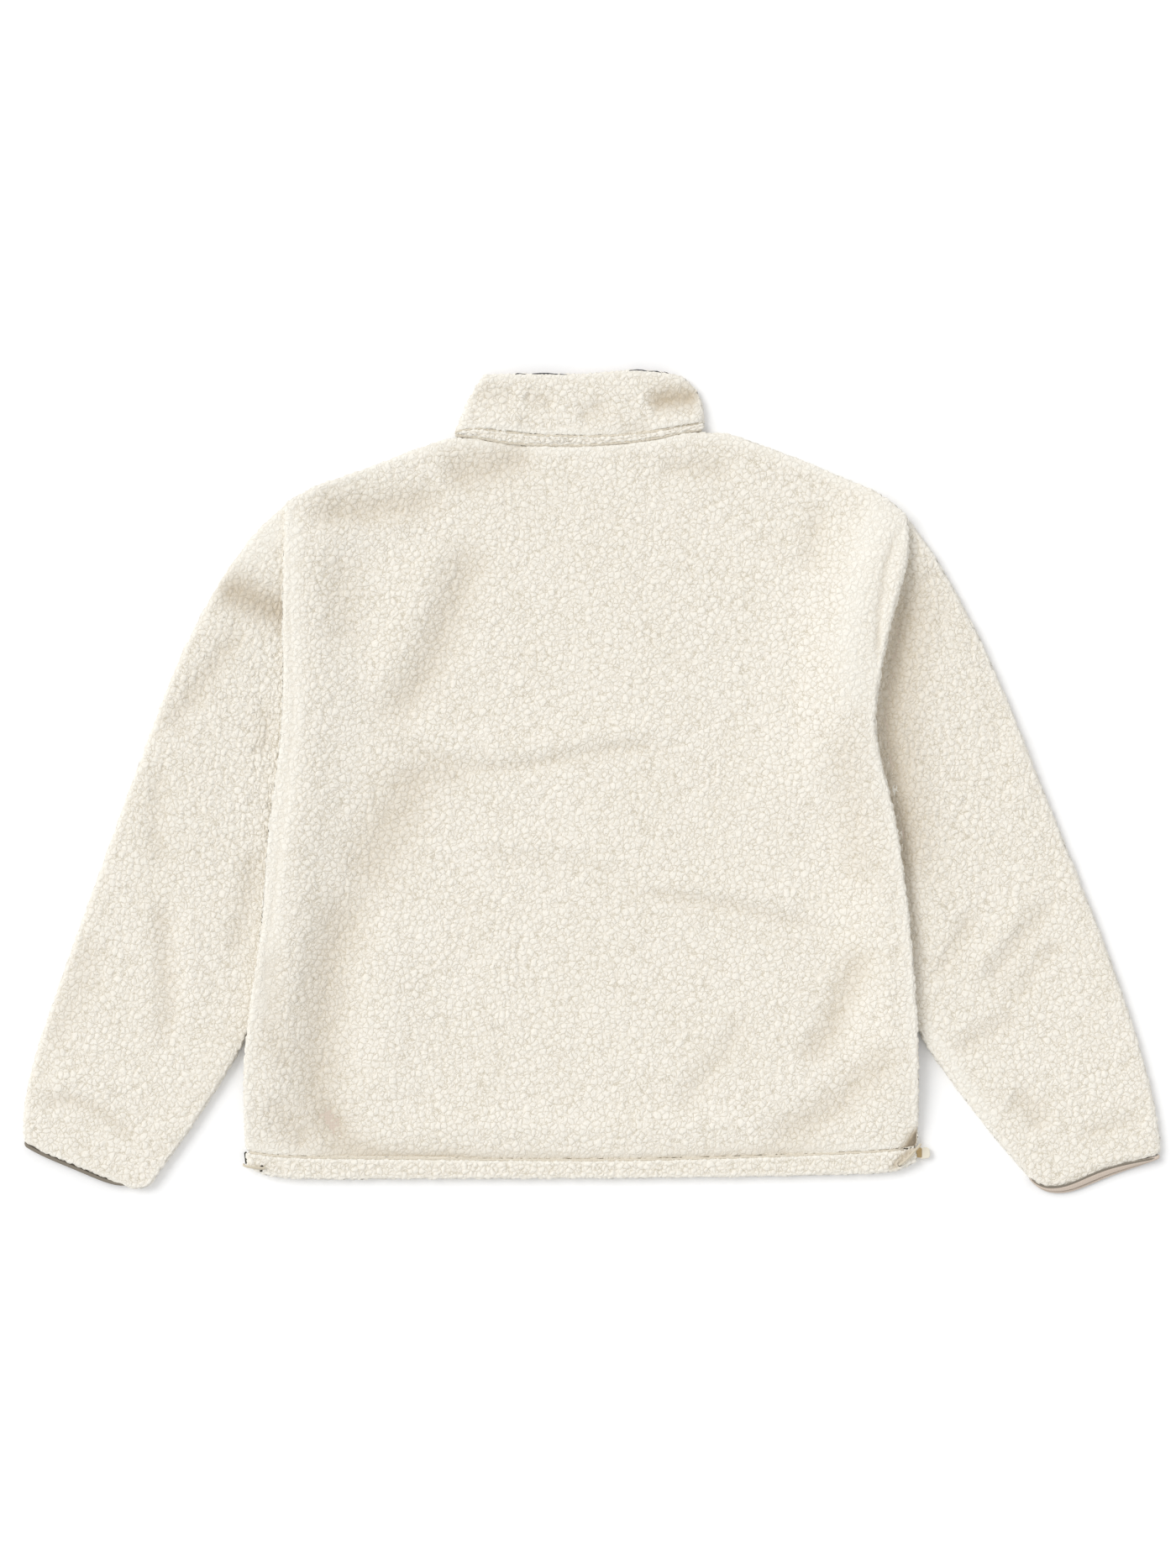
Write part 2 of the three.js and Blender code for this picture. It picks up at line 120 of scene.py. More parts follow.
def node(tree, kind, inputs=None, **settings):
    """Adds a node to a tree, with its settings. Each of its inputs gets a value, a hex colour, a link from a
    socket, or a link from another node's first output."""
    added = tree.nodes.new(kind)
    for key, value in settings.items():
        setattr(added, key, value)
    for key, value in (inputs or {}).items():
        if isinstance(value, bpy.types.Node):
            value = next(socket for socket in value.outputs if socket.enabled)
        if isinstance(value, bpy.types.NodeSocket):
            tree.links.new(value, added.inputs[key])
        else:
            hex_colour = isinstance(value, str) and value.startswith("#")
            added.inputs[key].default_value = linear(value) if hex_colour else value
    return added


def material(name, roughness, specular):
    """A new material, with its node tree and its shader."""
    made = bpy.data.materials.new(name)
    made.use_nodes = True
    shader = made.node_tree.nodes["Principled BSDF"]
    shader.inputs["Roughness"].default_value = roughness
    shader.inputs["Specular IOR Level"].default_value = specular
    return made, made.node_tree, shader


CURL = 5.0 * MM      # across one curl of the pile
WARP = 2.9 * MM      # how far the curls' outlines wander
PARTING = 0.55       # strength of the shade in the partings between them
DOME = 0.27          # how far a curl's rounded side reaches in from its parting, as a share of a curl
PARTING_WIDTH = 0.085   # as a share of a curl too


def curls(tree, place):
    """The curls of the pile at a place on the cloth, the same in the mesh and in the material.
    Gives their height from 0 to 1 and the strength of the parting beside them."""
    wander = node(tree, "ShaderNodeTexNoise", {"Vector": place, "Scale": 1.0 / CURL, "Detail": 2.0})
    centred = node(tree, "ShaderNodeVectorMath", {0: wander.outputs["Color"], 1: (0.5, 0.5, 0.5)},
                   operation="SUBTRACT")
    pushed = node(tree, "ShaderNodeVectorMath", {0: centred, "Scale": 2 * WARP}, operation="SCALE")
    warped = node(tree, "ShaderNodeVectorMath", {0: place, 1: pushed}, operation="ADD")
    cells = node(tree, "ShaderNodeTexVoronoi", {"Vector": warped, "Scale": 1 / CURL},
                 feature="DISTANCE_TO_EDGE")
    dome = node(tree, "ShaderNodeMapRange", {"Value": cells, "From Min": 0.0, "From Max": DOME},
                interpolation_type="SMOOTHSTEP")
    edge = node(tree, "ShaderNodeMapRange",
                {"Value": cells, "From Min": 0.0, "From Max": PARTING_WIDTH, "To Min": 1.0, "To Max": 0.0},
                interpolation_type="SMOOTHSTEP")
    # Partings open and close along their length, so that they look broken
    patch = node(tree, "ShaderNodeTexNoise", {"Vector": place, "Scale": 1.1 / CURL, "Detail": 1.0})
    opened = node(tree, "ShaderNodeMapRange", {"Value": patch, "From Min": 0.22, "From Max": 0.60},
                  interpolation_type="SMOOTHSTEP")
    return dome, node(tree, "ShaderNodeMath", {0: edge, 1: opened}, operation="MULTIPLY")


def sherpa(name):
    """Sherpa fleece: brushed polyester pile knotted into curls, so matt, cream and soft, with tan shade
    in its partings and in deep folds, and paler where a seam or a fold has pressed it smooth."""
    made, tree, shader = material(name, 0.95, 0.15)
    place = node(tree, "ShaderNodeAttribute", attribute_name="cloth_at").outputs["Vector"]
    pile = node(tree, "ShaderNodeAttribute", attribute_name="pile").outputs["Fac"]
    shade = node(tree, "ShaderNodeAttribute", attribute_name="hollow").outputs["Fac"]
    height, parting = curls(tree, place)

    tone = node(tree, "ShaderNodeTexNoise", {"Vector": place, "Scale": 1 / (40 * MM), "Detail": 3.0})
    base = node(tree, "ShaderNodeMix", {"Factor": tone, "A": "#F4EEE3", "B": "#EDE6D8"}, data_type="RGBA")
    lifted = node(tree, "ShaderNodeMapRange", {"Value": height, "To Min": 0.0, "To Max": 0.35})
    lit = node(tree, "ShaderNodeMix", {"Factor": lifted, "A": base, "B": "#FAF8F0"}, data_type="RGBA")
    smooth = node(tree, "ShaderNodeMapRange",
                  {"Value": pile, "From Min": 0.35, "From Max": 0.9, "To Min": 0.35, "To Max": 0.0})
    pressed = node(tree, "ShaderNodeMix", {"Factor": smooth, "A": lit, "B": "#F8F6EE"}, data_type="RGBA")
    thick = node(tree, "ShaderNodeMath", {0: parting, 1: pile}, operation="MULTIPLY")
    depth = node(tree, "ShaderNodeMath", {0: thick, 1: PARTING}, operation="MULTIPLY")
    parted = node(tree, "ShaderNodeMix", {"Factor": depth, "A": pressed, "B": "#AFA48A"}, data_type="RGBA")
    shaded = node(tree, "ShaderNodeMix", {"Factor": shade, "A": parted, "B": "#B5A283"}, data_type="RGBA")
    deep = node(tree, "ShaderNodeMapRange", {"Value": shade, "From Min": 0.7, "To Max": 0.9})
    dark = node(tree, "ShaderNodeMix", {"Factor": deep, "A": shaded, "B": "#8F8270"}, data_type="RGBA")
    tree.links.new(dark.outputs["Result"], shader.inputs["Base Color"])

    # The fibres of each curl are about a third of a millimetre apart, and drawn coarser so that they show
    fibres = node(tree, "ShaderNodeTexNoise",
                  {"Vector": place, "Scale": 1 / (1.4 * MM), "Detail": 3.0, "Roughness": 0.6})
    lumps = node(tree, "ShaderNodeMath", {0: height, 1: 0.6, 2: fibres}, operation="MULTIPLY_ADD")
    bump = node(tree, "ShaderNodeBump", {"Height": lumps, "Strength": 0.7, "Distance": 0.9 * MM})
    tree.links.new(bump.outputs[0], shader.inputs["Normal"])
    shader.inputs["Sheen Weight"].default_value = 0.4
    shader.inputs["Sheen Roughness"].default_value = 0.6
    shader.inputs["Sheen Tint"].default_value = linear("#FFF9EE")
    return made


STITCH = 1.1 * MM    # across one loop of the knit on the fleece's back
WAVE = 0.314         # a wave texture repeats this many metres apart at a scale of 1


def knit_back(name):
    """The fleece's plain knitted back: fine polyester loops in columns, smooth and pinkish beige."""
    made, tree, shader = material(name, 0.85, 0.2)
    place = node(tree, "ShaderNodeTexCoord").outputs["Object"]
    columns = node(tree, "ShaderNodeTexWave", {"Vector": place, "Scale": WAVE / STITCH, "Distortion": 0.4},
                   bands_direction="X")
    rows = node(tree, "ShaderNodeTexWave", {"Vector": place, "Scale": WAVE / STITCH, "Distortion": 1.2},
                bands_direction="Y")
    loops = node(tree, "ShaderNodeMath", {0: columns.outputs["Fac"], 1: rows.outputs["Fac"]},
                 operation="MULTIPLY")
    tone = node(tree, "ShaderNodeMix", {"Factor": loops, "A": "#CFBFB0", "B": "#E6DACD"}, data_type="RGBA")
    tree.links.new(tone.outputs["Result"], shader.inputs["Base Color"])
    bump = node(tree, "ShaderNodeBump", {"Height": loops, "Strength": 0.4, "Distance": 0.3 * MM})
    tree.links.new(bump.outputs[0], shader.inputs["Normal"])
    return made


def woven(name, colour, dark, thread):
    """Plain woven tape: two sets of threads, matt, with a little shade between them."""
    made, tree, shader = material(name, 0.8, 0.25)
    place = node(tree, "ShaderNodeTexCoord").outputs["Object"]
    across = node(tree, "ShaderNodeTexWave", {"Vector": place, "Scale": WAVE / thread, "Distortion": 0.6},
                  bands_direction="X")
    along = node(tree, "ShaderNodeTexWave", {"Vector": place, "Scale": WAVE / thread, "Distortion": 0.6},
                 bands_direction="Y")
    weave = node(tree, "ShaderNodeMath", {0: across.outputs["Fac"], 1: along.outputs["Fac"]},
                 operation="MULTIPLY")
    tone = node(tree, "ShaderNodeMix", {"Factor": weave, "A": dark, "B": colour}, data_type="RGBA")
    tree.links.new(tone.outputs["Result"], shader.inputs["Base Color"])
    bump = node(tree, "ShaderNodeBump", {"Height": weave, "Strength": 0.5, "Distance": 0.3 * MM})
    tree.links.new(bump.outputs[0], shader.inputs["Normal"])
    return made


def moulded(name, colour, scuffed):
    """Moulded acetal, as of press studs: even and slightly glossy, a little paler where it has rubbed."""
    made, tree, shader = material(name, 0.4, 0.5)
    place = node(tree, "ShaderNodeTexCoord").outputs["Object"]
    rubbed = node(tree, "ShaderNodeTexNoise", {"Vector": place, "Scale": 1 / (2.5 * MM), "Detail": 5.0})
    tone = node(tree, "ShaderNodeMix", {"Factor": rubbed, "A": colour, "B": scuffed}, data_type="RGBA")
    tree.links.new(tone.outputs["Result"], shader.inputs["Base Color"])
    return made


def studio_paper():
    """Matt white studio paper, with a faint tooth."""
    made, tree, shader = material("studio_paper", 0.95, 0.05)
    place = node(tree, "ShaderNodeTexCoord").outputs["Object"]
    tooth = node(tree, "ShaderNodeTexNoise", {"Vector": place, "Scale": 1 / (3 * MM), "Detail": 2.0})
    tone = node(tree, "ShaderNodeMix", {"Factor": tooth, "A": "#FFFFFF", "B": "#FDFDFD"}, data_type="RGBA")
    tree.links.new(tone.outputs["Result"], shader.inputs["Base Color"])
    return made


floor.data.materials.append(studio_paper())
SHERPA = sherpa("sherpa_fleece")
KNIT = knit_back("fleece_backing")
# The bindings are taupe tape in painted shade: the cuffs' binding is painted the darker taupe that the tape
# shows in shade, and the collar's is painted charcoal, a painted shadow on the same tape. The facing is dull
# taupe.
# Against them the cream pile looks bright
BINDING = woven("woven_binding", "#A39A8D", "#7C7468", 0.6 * MM)
COLLAR_TRIM = woven("collar_binding_painted_shadow", "#6B6C6F", "#434447", 0.6 * MM)
PLACKET = woven("woven_facing", "#A1988B", "#7A7266", 0.6 * MM)
CORD = woven("braided_cord", "#F3EDDF", "#C9BDA6", 0.5 * MM)
# The webbings have thicker threads than the bindings, so their weave shows as a fine rib
# The right tab's loop is painted tan: painted shade on the cream webbing where it folds round
SHADED_LOOP_WEBBING = woven("tab_loop_painted_shade", "#D8C197", "#A68C60", 0.8 * MM)
# The left tab's webbing is painted dark olive grey: a painted shadow under the edge of the casing
SHADOW_TAB_WEBBING = woven("tab_webbing_painted_shadow", "#5F5D50", "#3D3B32", 0.8 * MM)
PALE_WEBBING = woven("cream_webbing", "#FBF7EC", "#EAE2CE", 0.8 * MM)
# Pile pressed flat in a seam is painted a little darker than the curls, as painted shade in the seam's
# groove, and the thread on it a little paler
SHADED_SEAM_PILE = woven("seam_pile_painted_shade", "#EFE8DA", "#DAD0BD", 1.1 * MM)
THREAD = woven("sewing_thread", "#F6F1E5", "#E6DECD", 0.3 * MM)
# The buttonholes are painted dark: a painted shadow in the holes where the cord goes in
HOLE_SHADOW = woven("buttonhole_painted_shadow", "#6E6558", "#3B362F", 0.4 * MM)
STUD = moulded("acetal_press_stud", "#8D8579", "#A79F92")

# ---------------------------------------------------------------- cloth


def as_object(name, form):
    """An object from a bmesh, which is freed."""
    mesh = bpy.data.meshes.new(name)
    form.to_mesh(mesh)
    form.free()
    piece = bpy.data.objects.new(name, mesh)
    scene.collection.objects.link(piece)
    return piece


def settle(piece):
    """Applies the modifiers that a piece has."""
    evaluated = piece.evaluated_get(bpy.context.evaluated_depsgraph_get())
    mesh = bpy.data.meshes.new_from_object(evaluated)
    piece.modifiers.clear()
    piece.data = mesh
    piece.data.name = piece.name


def smooth_copy(name, source, levels):
    """A smooth copy of a CAD node: its facets joined to quads and subdivided."""
    form = bmesh.new()
    form.from_mesh(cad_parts[source].data)
    bmesh.ops.remove_doubles(form, verts=form.verts, dist=0.005 * MM)
    bmesh.ops.join_triangles(form, faces=form.faces, angle_face_threshold=math.radians(50),
                             angle_shape_threshold=math.radians(60))
    piece = as_object(name, form)
    smooth = piece.modifiers.new("smooth", "SUBSURF")
    smooth.levels = smooth.render_levels = levels
    settle(piece)
    return piece


def face_out(face, middle):
    """Whether a face is on the pile's side of the cloth, or upright at its edge."""
    above = face.calc_center_median().z - middle
    return above * face.normal.z > -0.2 * abs(above)


LONGEST = 1.4   # an edge is split where it is longer than this many times the spacing


def refine(piece, spacing, middle, passes=3):
    """Splits the edges of the pile's side until they are about as long as its spacing."""
    form = bmesh.new()
    form.from_mesh(piece.data)
    for _ in range(passes):
        form.normal_update()
        long_edges = [edge for edge in form.edges if edge.calc_length() > spacing * LONGEST
                      and any(face_out(face, middle) for face in edge.link_faces)]
        if not long_edges:
            break
        bmesh.ops.subdivide_edges(form, edges=long_edges, cuts=1, use_grid_fill=True)
    form.to_mesh(piece.data)
    form.free()


def points_of(piece):
    """Places and normals of a piece's vertices, as arrays of metres."""
    count = len(piece.data.vertices)
    places = np.empty(count * 3)
    normals = np.empty(count * 3)
    piece.data.vertices.foreach_get("co", places)
    piece.data.vertices.foreach_get("normal", normals)
    return places.reshape(-1, 3), normals.reshape(-1, 3)


def store(piece, name, values):
    """Keeps a number or a place for each point of a piece, as an attribute."""
    kind = "FLOAT_VECTOR" if values.ndim == 2 else "FLOAT"
    attribute = piece.data.attributes.new(name, kind, "POINT")
    attribute.data.foreach_set("vector" if values.ndim == 2 else "value", values.astype(np.float32).ravel())


def step(value, low, high):
    """0 below low and 1 above high, with a smooth rise between them."""
    share = np.clip((value - low) / (high - low), 0, 1)
    return share * share * (3 - 2 * share)


def beside(places, line):
    """Distance of each place from a line of points in millimetres, and how far along the line it is
    nearest, from 0 to 1."""
    line = np.array(line, dtype=float) * MM
    best = np.full(len(places), 1e9)
    along = np.zeros(len(places))
    lengths = np.linalg.norm(np.diff(line, axis=0), axis=1)
    total, done = lengths.sum(), 0.0
    for start, end, length in zip(line[:-1], line[1:], lengths):
        way = (end - start) / length
        run = np.clip((places[:, :2] - start) @ way, 0, length)
        apart = np.linalg.norm(places[:, :2] - start - run[:, None] * way, axis=1)
        closer = apart < best
        best[closer] = apart[closer]
        along[closer] = (done + run[closer]) / total
        done += length
    return best, along


FADE = 0.22     # share of a fold's length over which it fades away at each end


def fold(places, line, width):
    """How much of a soft fold's depth each place has, from 0 to 1."""
    apart, along = beside(places, line)
    ends = step(along, 0.0, FADE) * step(1 - along, 0.0, FADE)
    return ends * np.exp(-(apart / (width * MM)) ** 2)


def pulled(places, centre, reach, way):
    """How far each place is drawn sideways by a pull at one spot, all in millimetres."""
    apart = np.linalg.norm(places[:, :2] - np.array(centre) * MM, axis=1)
    return np.exp(-(apart / (reach * MM)) ** 2)[:, None] * np.array(way) * MM


DEEPEN, DARKEN = 1.15, 1.3   # the depth and the shade of every fold in the tables is multiplied by these
SWELL = 0.5 * MM             # how far the pile at an edge reaches over the seam beside it
LEAST_PILE = 0.4             # what is left of the pile's height at an edge
BARE_RIM = 1.5 * MM          # how wide that lowest pile is
RIM_FUZZ = 1.3               # how much more the pile stands out sideways at an edge
RIM = 0.45                   # a point whose normal's z is less than this is on the rim
FOLDABLE = (0.1, 0.7)        # range of a normal's z over which folds take hold, from none to all
FUZZY = (0.35, 0.75)         # and over which the extra pile of the rim fades away


def from_rim_of(places, normals):
    """Distance of each place from the nearest point on the rim."""
    rim = np.flatnonzero(np.abs(normals[:, 2]) < RIM)
    tree = kdtree.KDTree(len(rim))
    for k in rim:
        tree.insert(places[k], int(k))
    tree.balance()
    return np.array([tree.find(place)[2] for place in places])


def cloth(name, middle, spacing, folds=(), under=(), pressed=(), pulls=(), seam=9.0, turned=12.0):
    """A piece of sherpa on its solid's form, with its folds, its curls and its smoother edges. Each fold is
    a line in millimetres, its width, its depth, negative for a ridge, and the strength of its shade. They are
    on the upper side, or under it, and a line where the pile is pressed flat has a width only. The pile is
    lower within seam of an edge, and can be seen as far as turned round it on the inner side."""
    piece = smooth_copy(name + "_cloth", name, 2)
    refine(piece, spacing * MM, middle)
    places, normals = points_of(piece)
    level = np.abs(normals[:, 2])
    above = places[:, 2] - middle
    out = above * normals[:, 2] > -0.25 * np.abs(above)
    facing = np.where(out, step(level, *FOLDABLE), 0)
    hollow = np.zeros(len(places))
    drop = np.zeros(len(places))
    for side, lines in ((normals[:, 2] > 0, folds), (normals[:, 2] < 0, under)):
        for line, width, depth, shade in lines:
            share = fold(places, line, width) * facing * side
            drop += share * depth * DEEPEN * MM * np.where(normals[:, 2] > 0, -1, 1)
            hollow += share * shade * DARKEN
    from_rim = from_rim_of(places, normals)
    pile = step(from_rim, BARE_RIM, seam * MM)
    for line, width in pressed:
        apart, _ = beside(places, line)
        pile *= 1 - np.exp(-(apart / (width * MM)) ** 2)
    pile = np.where(out, LEAST_PILE + (1 - LEAST_PILE) * pile, 0.0)
    places[:, :2] += normals[:, :2] * SWELL * np.where(out, 1, 0)[:, None]
    places[:, 2] += drop
    for centre, reach, way in pulls:
        places[:, :2] += pulled(places, centre, reach, way)
    piece.data.vertices.foreach_set("co", places.ravel())
    store(piece, "cloth_at", places)
    store(piece, "pile", pile)
    store(piece, "rise", pile + RIM_FUZZ * np.where(out, step(-level, -FUZZY[1], -FUZZY[0]), 0))
    store(piece, "hollow", np.clip(hollow, 0, 1))
    raised = piece.modifiers.new("curls", "NODES")
    raised.node_group = CURL_TREE
    settle(piece)
    piece.data.materials.clear()
    piece.data.materials.append(SHERPA)
    piece.data.materials.append(KNIT)
    piled = (pile > 0) | (from_rim < turned * MM)
    for face in piece.data.polygons:
        face.use_smooth = True
        face.material_index = 0 if any(piled[k] for k in face.vertices) else 1
    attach(piece, "root")
    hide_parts(name)
    return piece


CURL_HEIGHT = 0.85 * MM
UNEVEN = 0.6            # how much curls differ in height, as a share of it
DIP = 0.5               # how much deeper a parting is than the valley between two curls
MEAN_LEVEL = 0.8        # so that the curls rise and sink about the cloth's own face
RESTING = 0.05 * MM     # nothing goes below the surface that the garment lies on


def curl_tree():
    """Moves the cloth along its normals by the height of its curls."""
    tree = bpy.data.node_groups.new("curls", "GeometryNodeTree")
    tree.interface.new_socket("Geometry", in_out="INPUT", socket_type="NodeSocketGeometry")
    tree.interface.new_socket("Geometry", in_out="OUTPUT", socket_type="NodeSocketGeometry")
    start = node(tree, "NodeGroupInput")
    place = node(tree, "GeometryNodeInputNamedAttribute", {"Name": "cloth_at"}, data_type="FLOAT_VECTOR")
    at = place.outputs["Attribute"]
    pile = node(tree, "GeometryNodeInputNamedAttribute", {"Name": "rise"}, data_type="FLOAT")
    height, parting = curls(tree, at)
    fine = node(tree, "ShaderNodeTexNoise", {"Vector": at, "Scale": 0.5 / CURL, "Detail": 2.0})
    uneven = node(tree, "ShaderNodeMath", {0: fine, 1: UNEVEN, 2: height}, operation="MULTIPLY_ADD")
    sunk = node(tree, "ShaderNodeMath", {0: parting, 1: -DIP, 2: uneven}, operation="MULTIPLY_ADD")
    level = node(tree, "ShaderNodeMath", {0: sunk, 1: MEAN_LEVEL}, operation="SUBTRACT")
    full = node(tree, "ShaderNodeMath", {0: level, 1: CURL_HEIGHT}, operation="MULTIPLY")
    rise = node(tree, "ShaderNodeMath", {0: full, 1: pile.outputs["Attribute"]}, operation="MULTIPLY")
    normal = node(tree, "GeometryNodeInputNormal")
    offset = node(tree, "ShaderNodeVectorMath", {0: normal, "Scale": rise}, operation="SCALE")
    moved = node(tree, "GeometryNodeSetPosition", {"Geometry": start.outputs[0], "Offset": offset})
    parts = node(tree, "ShaderNodeSeparateXYZ", {0: node(tree, "GeometryNodeInputPosition")})
    floored = node(tree, "ShaderNodeMath", {0: parts.outputs["Z"], 1: RESTING}, operation="MAXIMUM")
    kept = node(tree, "ShaderNodeCombineXYZ",
                {"X": parts.outputs["X"], "Y": parts.outputs["Y"], "Z": floored})
    rested = node(tree, "GeometryNodeSetPosition", {"Geometry": moved, "Position": kept})
    node(tree, "NodeGroupOutput", {0: rested})
    return tree


CURL_TREE = curl_tree()

# ---------------------------------------------------------------- folds of each piece, in millimetres

# Where seams and pressed edges have flattened the pile
LEFT_ARMHOLE_SEAM = [(-268, 225), (-270, 150), (-266, 60), (-274, -20), (-284, -110), (-294, -200)]
RIGHT_EDGE_SEAM = [(279, 234), (268, 213), (261, 192), (255, 149), (253, 97)]
LEFT_SLEEVE_HEAD = [(-335, 190), (-305, 215), (-278, 228)]
RIGHT_FRONT_PRESSED = [(256, 238), (244, 205), (236, 165), (230, 120), (234, 80)]
RIGHT_SLEEVE_SEAM = [(301, -221), (330, -262), (359, -303)]

BACK_FOLDS = [
    # Across the left shoulder, in two hollows
    ([(-262, 238), (-225, 241), (-190, 244), (-155, 249), (-122, 260)], 14, 2.6, 0.22),
    ([(-138, 268), (-115, 276), (-90, 279), (-66, 290), (-46, 296)], 17, 2.8, 0.24),
    ([(-250, 222), (-200, 226), (-150, 230)], 12, -1.6, 0),
    # Below the neck on the right
    ([(55, 281), (92, 281), (132, 275)], 10, 1.6, 0.14),
    # Down from the left shoulder blade to the waist
    ([(-92, 225), (-110, 190), (-124, 160), (-138, 120), (-150, 92), (-172, 68), (-202, 48)], 17, 2.8, 0.19),
    ([(-128, 225), (-150, 180), (-166, 130), (-185, 95), (-215, 78)], 22, -2.2, 0),
    ([(-222, 212), (-224, 165), (-218, 110)], 17, 1.6, 0.10),
    # The long soft fold down the left side, which bends along the hem
    ([(-150, 18), (-170, -20), (-190, -62), (-212, -100)], 26, 2.6, 0.20),
    ([(-196, -70), (-222, -125), (-236, -170), (-242, -225), (-244, -280), (-228, -322), (-190, -340)],
     22, 3.2, 0.21),
    ([(-180, -110), (-186, -180), (-188, -250), (-176, -305)], 24, -1.8, 0),
    ([(-282, -140), (-286, -185), (-282, -230), (-266, -270)], 11, 1.5, 0.12),
    ([(-288, -280), (-274, -303), (-250, -328)], 13, 1.8, 0.16),
    # Creases across the middle
    ([(-205, 46), (-150, 24), (-94, 11), (-50, 15), (-10, 24), (44, 32), (92, 25)], 6, 1.5, 0.10),
    ([(-195, 60), (-120, 34), (-70, 29), (0, 42), (50, 48), (100, 40)], 11, -1.3, 0),
    ([(-172, 6), (-140, 8), (-105, 0)], 10, 1.6, 0.14),
    ([(-120, -50), (-60, -54), (-5, -58), (40, -74), (85, -82)], 9, -1.0, 0),
    ([(-110, -66), (-55, -70), (0, -75), (45, -90)], 7, 0.7, 0.05),
    ([(30, -98), (72, -104), (110, -109), (150, -117), (190, -128), (226, -136)], 6, 1.5, 0.11),
    ([(50, -88), (105, -94), (150, -101), (200, -113)], 8, -1.1, 0),
    # The full, bright right half, and the slack beside the right armhole
    ([(212, 235), (202, 160), (192, 80), (190, 10), (184, -60)], 36, -3.4, 0),
    ([(205, 250), (198, 215), (194, 180)], 10, 1.5, 0.10),
    ([(222, 60), (228, 0), (236, -60), (246, -110)], 17, 1.2, 0.10),
    # The seam beside the right edge, and the full band outside it
    (RIGHT_EDGE_SEAM, 2.6, 1.2, 0.20),
    ([(285, 230), (277, 205), (271, 180), (264, 145), (262, 100)], 5, -1.0, 0),
    (LEFT_ARMHOLE_SEAM, 2.4, 0.8, 0.10),
    ([(-276, 246), (-277, 150), (-273, 60), (-281, -20), (-291, -110), (-299, -190)], 6, 1.6, 0),
    # Lower right, and the corner of the hem
    ([(248, -140), (228, -185), (212, -225), (182, -258)], 13, 2.3, 0.20),
    ([(140, -205), (116, -245), (92, -275), (74, -300)], 11, 1.5, 0.10),
    ([(272, -225), (256, -255), (226, -284), (190, -306), (146, -328)], 15, 2.4, 0.17),
    # The panel sags over the hem
    ([(-300, -325), (-232, -332), (-160, -337), (-85, -335), (0, -338), (90, -336), (180, -331), (262, -326)],
     6, 1.0, 0.22),
    ([(-243, -272), (-236, -300), (-216, -322), (-185, -334), (-140, -338), (-90, -337)], 11, 1.6, 0.15),
    ([(268, -344), (276, -337), (284, -327), (290, -317), (295, -307)], 6, 2.0, 0.85),
    ([(-215, -312), (-120, -309), (-10, -311), (100, -309), (170, -300)], 12, -1.5, 0),
]

SLEEVE_LEFT_FOLDS = [
    ([(-340, 180), (-312, 167), (-288, 156), (-262, 146), (-240, 138)], 16, 3.2, 0.42),
    ([(-306, 145), (-334, 108), (-358, 72), (-388, 40)], 10, 1.7, 0.16),
    ([(-292, 70), (-290, 45), (-296, 20)], 8, 1.4, 0.12),
    ([(-384, 20), (-390, -30), (-384, -90)], 10, 1.3, 0.09),
    ([(-300, -55), (-307, -100), (-314, -135), (-322, -165)], 9, 1.6, 0.14),
    ([(-384, -95), (-382, -150), (-378, -200), (-384, -245)], 10, 1.7, 0.14),
    ([(-440, -130), (-452, -170), (-470, -215), (-486, -250)], 13, 1.5, 0.10),
    ([(-360, -110), (-356, -170), (-352, -215)], 12, -1.3, 0),
    ([(-498, -288), (-470, -284), (-446, -290), (-424, -306), (-404, -322)], 6, 1.7, 0.15),
    ([(-490, -270), (-450, -266), (-420, -284)], 10, -1.3, 0),
]

SLEEVE_RIGHT_FOLDS = [
    # The hollow in which the body's folded edge stands
    ([(288, 235), (284, 190), (276, 145), (268, 100), (262, 55), (268, 5), (276, -45), (282, -100),
      (289, -150), (294, -215), (296, -240)], 10, 2.4, 0.18),
    ([(292, 215), (285, 150), (277, 95), (273, 50), (278, 0), (286, -60), (292, -120)], 25, 1.8, 0.25),
    ([(292, 205), (297, 180)], 9, -1.2, 0),
    # Slanting folds of the lower arm
    ([(306, -180), (322, -152), (345, -112)], 8, 1.5, 0.13),
    ([(348, -190), (372, -155), (398, -122), (418, -100)], 9, 1.7, 0.13),
    ([(335, -180), (362, -142), (390, -105)], 8, -1.2, 0),
    ([(372, -200), (398, -165), (424, -138)], 8, 1.4, 0.11),
    ([(322, -245), (350, -226), (386, -206)], 9, 1.5, 0.12),
    ([(372, -278), (392, -292), (404, -314)], 13, 2.0, 0.16),
    ([(432, -318), (462, -309), (494, -298)], 7, 1.4, 0.12),
    ([(392, 60), (380, 20), (385, -30)], 14, -1.4, 0),
]

COLLAR_FOLDS = [
    ([(48, 334), (64, 341), (84, 343), (100, 342)], 10, 3.0, 0.50),
    ([(58, 324), (80, 322), (100, 324)], 7, -1.6, 0),
    ([(-112, 346), (-88, 345), (-66, 341)], 9, 1.6, 0.10),
    ([(-62, 343), (-46, 340), (-30, 336)], 8, 1.6, 0.11),
    ([(-14, 324), (2, 331), (18, 338)], 9, 1.8, 0.12),
    ([(24, 308), (40, 313), (56, 312)], 8, 1.4, 0.14),
    ([(-104, 320), (-80, 321), (-56, 322)], 8, -1.3, 0),
]

